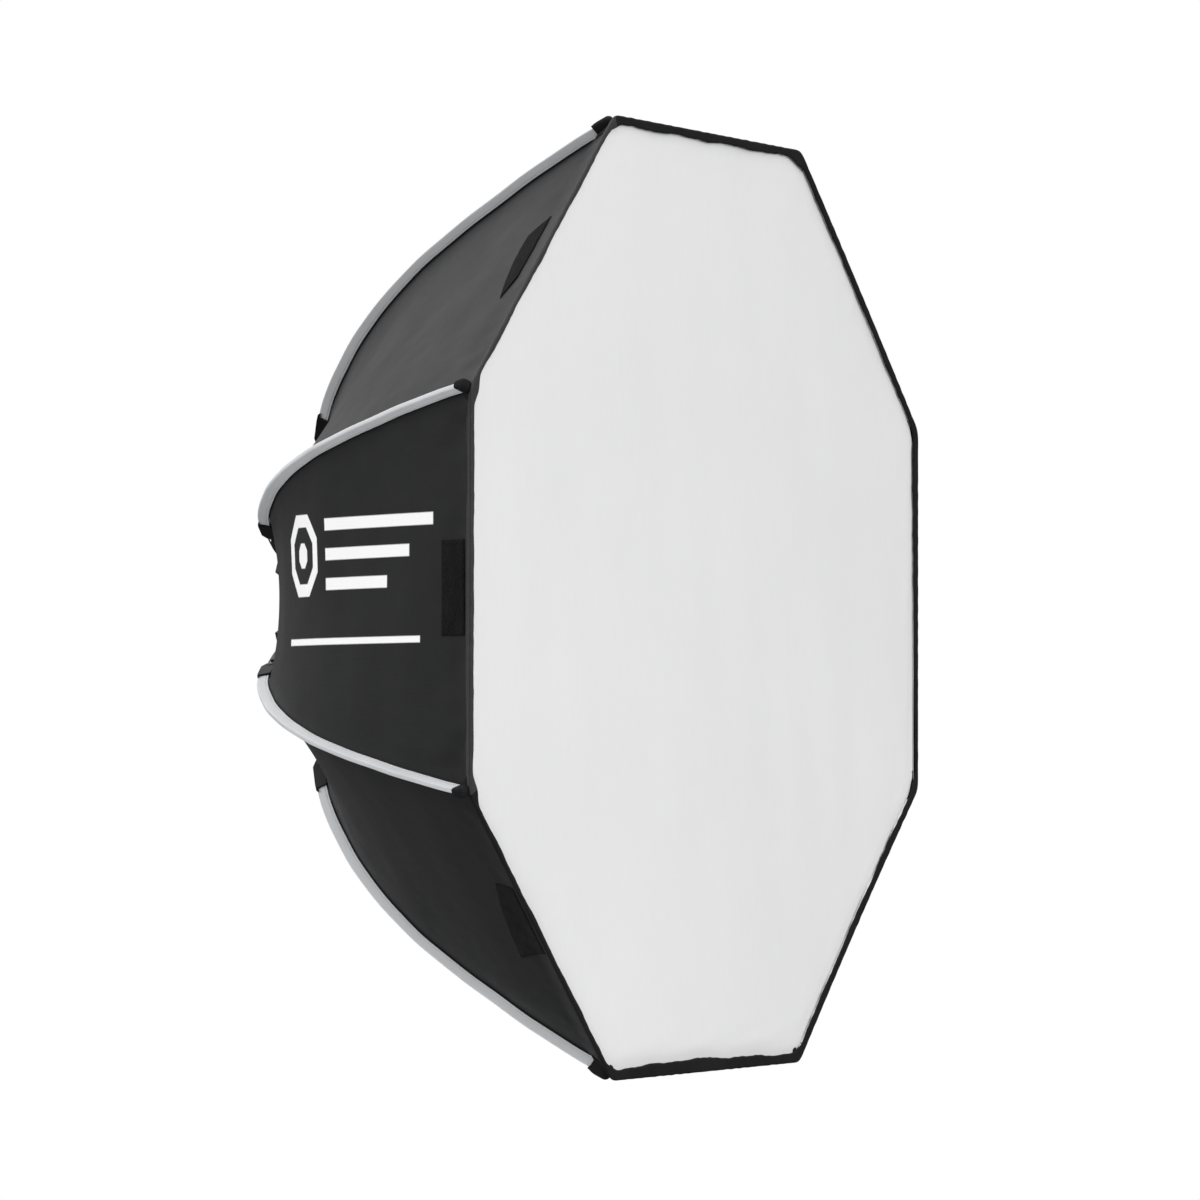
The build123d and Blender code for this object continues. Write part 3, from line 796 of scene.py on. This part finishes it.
def along_rib(k, path, section, stretch=None):
    """Rings (n, m, 3) of section (s, h) pairs carried along path in the plane of rib k."""
    nrm = normals2(path)
    h = section[None, :, 1] * (1.0 if stretch is None else stretch[:, None])
    x = path[:, None, 0] + nrm[:, None, 0] * h
    r = path[:, None, 1] + nrm[:, None, 1] * h
    return place(k, x, r, section[None, :, 0] + rib_lean(k, path[:, 0])[:, None] + 0 * x)


SEAM = np.array([(0.0, -3.9), (1.9, -3.9), (2.3, -5.0), (2.5, -6.3), (0.0, -5.7), (-2.5, -6.3), (-2.3, -5.0), (-1.9, -3.9)])
SEAM_PATH = RIB_FINE[(RIB_FINE[:, 0] > 55) & (RIB_FINE[:, 0] < 398)]
for k in range(8):
    rings = along_rib(k, RIB_PATH, SECTION, 1.0 + 0.14 * (1 - smooth01((RIB_PATH[:, 0] - 80.0) / 110.0)))
    uv = np.stack([np.repeat(_per[None], len(RIB_PATH), 0), np.repeat(RIB_LEN[:, None], len(_per), 1)], -1) * MM
    uv[..., 0] += 0.05 * k
    o = tube(f"rib_piece_{k + 1}", rings, uv.reshape(-1, 2), (M_RIB,), 35.0)
    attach(o, f"rib_{k + 1}")
    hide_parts(f"rib_{k + 1}")
    rings = along_rib(k, SEAM_PATH, SEAM, 1.0 + 0.06 * (1 - smooth01((SEAM_PATH[:, 0] - 80.0) / 110.0)))
    per = np.r_[0, np.cumsum(np.linalg.norm(np.diff(SEAM, axis=0), axis=1))]
    d = np.r_[0, np.cumsum(np.linalg.norm(np.diff(SEAM_PATH, axis=0), axis=1))]
    uv = np.stack([np.repeat(per[None], len(d), 0) + 40 * k, np.repeat(d[:, None], len(per), 1)], -1) * MM
    o = tube(f"rib_seam_{k + 1}", rings, uv.reshape(-1, 2), (M_EDGE,), 45.0)
    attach(o, f"rib_{k + 1}")

# ---------------------------------------------------------------- corner pockets over the rib tips: a sleeve and a fan
TIP_PATH = np.vstack([RIB_FINE, [RIB_FINE[-1] + _d1 * t for t in (2.0, 4.0, 6.0, 8.0, 10.0, 12.0)]])
TIP_LEN = np.r_[0, np.cumsum(np.linalg.norm(np.diff(TIP_PATH, axis=0), axis=1))]


def tip_at(dist):
    """A point (x, r) and the outward normal of the rib's line, by distance along it."""
    p = np.column_stack([np.interp(dist, TIP_LEN, TIP_PATH[:, i]) for i in (0, 1)])
    q = np.column_stack([np.interp(np.asarray(dist) + 1.0, TIP_LEN, TIP_PATH[:, i]) for i in (0, 1)])
    q2 = np.column_stack([np.interp(np.asarray(dist) - 1.0, TIP_LEN, TIP_PATH[:, i]) for i in (0, 1)])
    t = q - q2
    t /= np.linalg.norm(t, axis=1)[:, None]
    return p, np.column_stack([-t[:, 1], t[:, 0]])


PH = np.linspace(-math.pi, math.pi, 45)[:-1]
MOUTH_X = (393.0, 393.0, 389.5, 397.6, 397.6, 388.5, 393.0, 393.0)
END_X = 409.4
for k in range(8):
    n = 30
    t = np.linspace(0, 1, n)
    rings = np.empty((n, len(PH), 3))
    uvs = np.empty((n, len(PH), 2))
    bulge = (0.0, 0.6, 0.4, -0.9, -0.4, 1.2, 1.2, 0.4)[k]
    mouth = MOUTH_X[k] + 2.6 * smooth01((np.abs(PH) - 0.30) / 1.25)
    for j, ph in enumerate(PH):
        l0, l1 = np.interp(mouth[j], TIP_PATH[:, 0], TIP_LEN), np.interp(END_X, TIP_PATH[:, 0], TIP_LEN)
        d = l0 + (l1 - l0) * t
        p, nm = tip_at(d)
        left = np.clip((l1 - d) / 5.5, 0, 1)
        shrink = np.sqrt(np.maximum(1 - (1 - left) ** 2, 0.0)) * 0.82 + 0.18
        back = 1 - smooth01((d - l0) / 4.0) * 1.0
        cs, sn = math.cos(ph), math.sin(ph)
        e = 2.0 / 3.0
        sx_, hx = math.copysign(abs(sn) ** e, sn), math.copysign(abs(cs) ** e, cs)
        wide = 4.9 + 0.7 * smooth01((d - l0) / (l1 - l0)) - 0.35 * back
        tall = (6.2 + bulge * smooth01((d - l0) / 9.0)) - 0.5 * back
        s_ = sx_ * wide * shrink
        h = 1.4 + hx * tall * shrink
        rings[:, j] = place(k, p[:, 0] + nm[:, 0] * h, p[:, 1] + nm[:, 1] * h, s_ + rib_lean(k, p[:, 0]))
        uvs[:, j, 0] = (ph * 5.6 + 60 * k + 300) * MM
        uvs[:, j, 1] = d * MM
    o = tube(f"corner_pocket_{k + 1}", rings, uvs.reshape(-1, 2), (M_EDGE,), 60.0)
    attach(o, f"rib_{k + 1}")

    xs = np.linspace(MOUTH_X[k] + 1.0, 408.6, 22)
    us = np.linspace(-1, 1, 33)
    f = (xs - xs[0]) / (xs[-1] - xs[0])
    wide = 5.6 + 9.5 * f ** 1.2
    S = us[None] * wide[:, None]
    X = np.repeat(xs[:, None], len(us), 1)
    rr = np.interp(xs, COVER_FINE[:, 0], COVER_FINE[:, 1])[:, None] - np.abs(S) * T8
    edge = np.minimum(1 - np.abs(us)[None], 0.12) / 0.12 * np.minimum(1, f[:, None] / 0.08)
    rr = rr + 0.25 + 0.75 * edge
    rr = rr - 1.4 * smooth01((X - 404.0) / 4.0) + CORNER_OUT[k] / C8 * smooth01((X - 376.0) / 28.0)
    P = place(k, X, rr, S + rib_lean(k, X) * 0.6)
    UV = np.stack([(S + 60.0 * k + 900.0) * MM, X * MM], -1)
    o = shell(f"corner_fan_{k + 1}", P, UV, 0.0010, (M_EDGE,), outward_of(P), mat_in=0, sharp=60)
    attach(o, f"rib_{k + 1}")

# ---------------------------------------------------------------- draw wires
_w = spline(WIRE_LINE, 28)
_wt = np.gradient(_w, axis=0)
_wt /= np.linalg.norm(_wt, axis=1)[:, None]
_wn = np.column_stack([-_wt[:, 1], _wt[:, 0]])
for k in range(8):
    ang = np.linspace(0, 2 * math.pi, 11)[:-1]
    x = _w[:, None, 0] + _wn[:, None, 0] * 0.7 * np.cos(ang)[None]
    r = _w[:, None, 1] + _wn[:, None, 1] * 0.7 * np.cos(ang)[None]
    s = 0.7 * np.sin(ang)[None] + 0 * x
    o = tube(f"draw_wire_{k + 1}", place(k, x, r, s), None, (M_WIRE,), 60)
    point(k, _w[0, 0] if False else 14.6, 99.4, 0)
    point(k, 29.4, 150.2, 0)
    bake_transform(o)
    if k == 0:
        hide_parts("draw_wires")

# ---------------------------------------------------------------- front diffuser, eight sectors of one sheet
DIFF_X = 408.9
DW1 = waves(53, 8, 70, 240, 0.15, 0.5)
DW2 = waves(59, 8, 18, 55)


def diffuser_relief(y, z):
    """mm along X, by place on the sheet; the same for every sector, so that their borders agree."""
    rad = np.hypot(y, z)
    ang = np.arctan2(z, y)
    near = np.mod(ang + math.pi / 8, math.pi / 4) - math.pi / 8
    ap = rad * np.cos(near)
    edge = smooth01((ap - 345.0) / 60.0)
    broad = field(DW1, y, z) * 0.55 * (1 - 0.5 * edge)
    pucker = field(DW2, y, z) * 0.42 * edge
    crown = 1.2 * np.clip(1 - (ap / 400.0) ** 2, 0, 1)
    border = smooth01((ap - 398.0) / 8.0)
    return broad + pucker * (1 - border) + crown - 0.5 * border


for k in range(8):
    nr, na = 64, 31
    phi = np.linspace(-math.pi / 8, math.pi / 8, na)
    share = 0.5 * (1 - np.tan(math.pi / 8 - np.abs(phi)) / T8)
    beside = np.where(phi > 0, CORNER_OUT[(k + 1) % 8], CORNER_OUT[(k - 1) % 8])
    edge = (410.9 + CORNER_OUT[k] + (beside - CORNER_OUT[k]) * share) / np.cos(math.pi / 8 - np.abs(phi))
    edge = np.minimum(edge, (439.0 + CORNER_OUT[k]) / np.cos(phi))
    v = np.linspace(0, 1, nr)[1:]
    v = np.unique(np.r_[v[v < 0.82], np.linspace(0.82, 1, 26)])
    r2 = v[:, None] * edge[None]
    rr, ss = r2 * np.cos(phi), r2 * np.sin(phi)
    a = rib_angle(k)
    y = rr * math.cos(a) - ss * math.sin(a)
    z = rr * math.sin(a) + ss * math.cos(a)
    x = DIFF_X + diffuser_relief(y, z)
    xc = DIFF_X + float(diffuser_relief(np.array(0.0), np.array(0.0)))
    front = np.vstack([[[xc, 0, 0]], np.stack([x, y, z], -1).reshape(-1, 3)]) * MM
    back = front.copy()
    back[:, 0] -= 0.0006
    n1 = len(front)
    idx = 1 + np.arange(len(v) * na).reshape(len(v), na)
    faces = []
    for j in range(na - 1):
        faces.append((0, idx[0, j], idx[0, j + 1]))
    for i in range(len(v) - 1):
        for j in range(na - 1):
            faces.append((idx[i, j], idx[i + 1, j], idx[i + 1, j + 1], idx[i, j + 1]))
    border = [0] + list(idx[:, 0]) + list(idx[-1, 1:]) + list(idx[-2::-1, -1])
    p0, p1, p2 = front[faces[40][0]], front[faces[40][1]], front[faces[40][2]]
    if np.cross(p1 - p0, p2 - p0)[0] < 0:
        faces = [tuple(reversed(f)) for f in faces]
    directed = {(int(f[i]), int(f[(i + 1) % len(f)])) for f in faces for i in range(len(f))}
    backf = [tuple(int(i) + n1 for i in reversed(f)) for f in faces]
    walls = []
    for i in range(len(border)):
        p, q = int(border[i]), int(border[(i + 1) % len(border)])
        walls.append((q, p, p + n1, q + n1) if (p, q) in directed else (p, q, q + n1, p + n1))
    uvs = np.vstack([front[:, 1:], back[:, 1:]]) + 2.0
    o = mesh_object(f"diffuser_sector_{k + 1}", np.vstack([front, back]), faces + backf + walls, uvs, (M_DIFF,), None, 50)
    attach(o, f"diffuser_{k + 1}")
    tuple(float(q) for q in (place(k, 0, 0, 1) / MM))
    point(k, 408, 200, 0)
    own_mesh(o)
    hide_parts(f"diffuser_{k + 1}")

CHEEK = [(44.9, 189.6), (42.2, 188.8), (39.3, 183.0), (32.6, 165.5), (34.2, 158.6), (37.0, 156.1), (40.6, 155.9),
         (43.4, 157.8), (45.0, 161.2), (51.7, 180.4), (50.8, 181.9), (42.3, 186.2)]
CORE = [(44.9, 189.6), (42.2, 188.8), (39.3, 183.0), (32.7, 167.0), (47.1, 167.0), (51.7, 180.4), (50.8, 181.9), (42.3, 186.2)]


def slab_into(verts, faces, k, outline, s0, s1):
    """A straight slab of an (x, r) outline between two tangential distances."""
    n, b = len(outline), len(verts)
    area2 = sum(p[0] * q[1] - q[0] * p[1] for p, q in zip(outline, outline[1:] + outline[:1]))
    pts = outline if area2 > 0 else outline[::-1]
    verts += [point(k, x, r, s0) for x, r in pts] + [point(k, x, r, s1) for x, r in pts]
    faces.append(tuple(range(b + n - 1, b - 1, -1)))
    faces.append(tuple(range(b + n, b + 2 * n)))
    for i in range(n):
        j = (i + 1) % n
        faces.append((b + i, b + j, b + n + j, b + n + i))


def soften(o, width, segments):
    bv = o.modifiers.new("soft_edges", "BEVEL")
    bv.width, bv.segments, bv.limit_method, bv.angle_limit, bv.use_clamp_overlap = width, segments, "ANGLE", math.radians(30), True


# rib sockets: two cheeks either side of the arm's knuckle and a solid head that takes the rib
for k in range(8):
    V, F = [], []
    slab_into(V, F, k, CHEEK, 3.48, 4.4)
    slab_into(V, F, k, CHEEK, -4.4, -3.48)
    slab_into(V, F, k, CORE, -3.5, 3.5)
    o = mesh_object(f"socket_piece_{k + 1}", V, F, None, (M_SOCKET,), None, 30)
    soften(o, 0.0004, 2)
    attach(o, f"rib_{k + 1}")
    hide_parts(f"rib_socket_{k + 1}")
V, F = [], []
for k in range(8):
    disc = [(39.0 + 1.45 * math.cos(t), 160.0 + 1.45 * math.sin(t)) for t in np.linspace(0, 2 * math.pi, 17)[:-1]]
    head = [(39.0 + 2.6 * math.cos(t), 160.0 + 2.6 * math.sin(t)) for t in np.linspace(0, 2 * math.pi, 21)[:-1]]
    slab_into(V, F, k, disc, -4.6, 4.6)
    slab_into(V, F, k, head, 4.42, 4.9)
    slab_into(V, F, k, head, -4.9, -4.42)
o = mesh_object("hinge_pin_set", V, F, None, (M_PAINT,), None, 30)
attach(o, "hub")
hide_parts("hinge_pins")


def finish_node(name, mat, width=0.0006, segments=2):
    o = nodes[name]
    o.data.materials.clear()
    o.data.materials.append(mat)
    if width:
        bv = o.modifiers.new("soft_edges", "BEVEL")
        bv.width = width
        bv.segments = segments
        bv.limit_method = "ANGLE"
        bv.angle_limit = math.radians(35)
        bv.harden_normals = False
        bv.use_clamp_overlap = True


finish_node("bayonet_ring", M_MOUNT, 0.0004)
finish_node("hub_shell", M_PLASTIC, 0.0008)
finish_node("hub_front_ring", M_PLASTIC, 0.0005)
finish_node("hub_screws", M_ZINC, 0.0)
finish_node("hub_arms", M_PAINT, 0.0006)
finish_node("draw_ring", M_ZINC, 0.0005)

# ---------------------------------------------------------------- camera
az, el, roll = math.radians(60.17941), math.radians(-1.35364), math.radians(0.158142)
tx, ty, dist = -0.09877175, 0.00058176, 5.17937104
back = np.array([math.cos(el) * math.cos(az), -math.cos(el) * math.sin(az), math.sin(el)])
right = np.cross([0, 0, 1], back)
right /= np.linalg.norm(right)
up = np.cross(back, right)
cr, sr = math.cos(roll), math.sin(roll)
r2, u2 = cr * right + sr * up, -sr * right + cr * up
centre = back * dist + r2 * tx + u2 * ty + np.array([0.412, 0, 0])
cam = bpy.data.objects.new("camera", bpy.data.cameras.new("camera"))
bpy.context.scene.collection.objects.link(cam)
cam.data.sensor_width = 36.0
cam.data.lens = 5767.68984 / 1200 * 36.0
cam.data.clip_start, cam.data.clip_end = 0.1, 60.0
cam.matrix_world = Matrix((
    (r2[0], u2[0], back[0], centre[0]), (r2[1], u2[1], back[1], centre[1]), (r2[2], u2[2], back[2], centre[2]), (0, 0, 0, 1)))
bpy.context.scene.camera = cam

# ---------------------------------------------------------------- studio: white surround, soft light, pale floor
world = bpy.data.worlds.new("studio")
bpy.context.scene.world = world
world.use_nodes = True
wt = world.node_tree
wt.nodes.clear()
out = wt.nodes.new("ShaderNodeOutputWorld")
bg_seen = wt.nodes.new("ShaderNodeBackground")
bg_light = wt.nodes.new("ShaderNodeBackground")
bg_seen.inputs[0].default_value = (1, 1, 1, 1)
bg_seen.inputs[1].default_value = 1.0
mixs = wt.nodes.new("ShaderNodeMixShader")
lp = wt.nodes.new("ShaderNodeLightPath")
tc = wt.nodes.new("ShaderNodeTexCoord")
sx = wt.nodes.new("ShaderNodeSeparateXYZ")
mr = wt.nodes.new("ShaderNodeMapRange")
cr_ = wt.nodes.new("ShaderNodeValToRGB")
wt.links.new(tc.outputs["Generated"], sx.inputs[0])
wt.links.new(sx.outputs[2], mr.inputs[0])
mr.inputs[1].default_value, mr.inputs[2].default_value = -1.0, 1.0
e = cr_.color_ramp.elements
stops = [(0.0, 0.06), (0.30, 0.075), (0.45, 0.12), (0.54, 0.24), (0.62, 0.56), (0.72, 1.0), (1.0, 1.25)]
while len(e) < len(stops):
    e.new(0.5)
for i, (p, c) in enumerate(stops):
    e[i].position = p
    e[i].color = (c, c, c, 1)
wt.links.new(mr.outputs[0], cr_.inputs[0])
wt.links.new(cr_.outputs[0], bg_light.inputs[0])
bg_light.inputs[1].default_value = 1.0
wt.links.new(lp.outputs["Is Camera Ray"], mixs.inputs[0])
wt.links.new(bg_light.outputs[0], mixs.inputs[1])
wt.links.new(bg_seen.outputs[0], mixs.inputs[2])
wt.links.new(mixs.outputs[0], out.inputs[0])


def area_light(name, at, look, size, power, spread=math.pi, glossy=True):
    d = bpy.data.lights.new(name, "AREA")
    d.shape = "RECTANGLE"
    d.size, d.size_y = size
    d.energy = power
    d.spread = spread
    o = bpy.data.objects.new(name, d)
    bpy.context.scene.collection.objects.link(o)
    o.location = at
    o.rotation_mode = "QUATERNION"
    o.rotation_quaternion = (Vector(look) - Vector(at)).to_track_quat("-Z", "Y")
    o.visible_camera = False
    o.visible_glossy = glossy
    return o


area_light("front_soft", (4.6, -1.2, 1.0), (0.4, 0, 0), (2.6, 2.6), 83.0)
area_light("left_soft", (-2.95, -2.5, 1.05), (0.2, -0.2, 0), (3.0, 3.0), 84.0, glossy=False)
area_light("low_soft", (0.9, -1.7, -3.6), (0.2, -0.2, 0), (3.0, 3.0), 118.0, glossy=False)
area_light("top_soft", (-0.6, -0.9, 3.4), (0.1, -0.2, 0), (2.4, 2.4), 30.0)

fm = bpy.data.materials.new("floor_pale")
fm.use_nodes = True
fb = fm.node_tree.nodes["Principled BSDF"]
FN = Nodes(fm.node_tree)
FN.link(FN.ramp(FN.noise(FN.coord("Object"), 3.0, 3.0), [(0.3, (0.80, 0.80, 0.80)), (0.7, (0.84, 0.84, 0.84))]), fb.inputs["Base Color"])
fb.inputs["Roughness"].default_value = 0.8
ang = np.linspace(0, 2 * math.pi, 97)[:-1]
fl_v = [(2.6 * math.cos(t) + 0.2, 2.6 * math.sin(t), -1.30) for t in ang]
floor = mesh_object("floor", fl_v, [tuple(range(96))], None, (fm,), None, None)
floor.visible_glossy = False
floor.visible_diffuse = False
floor.visible_shadow = False

scene = bpy.context.scene
scene.view_settings.view_transform = "Standard"
scene.view_settings.look = "None"
scene.view_settings.exposure = 0.0
scene.view_settings.gamma = 1.0
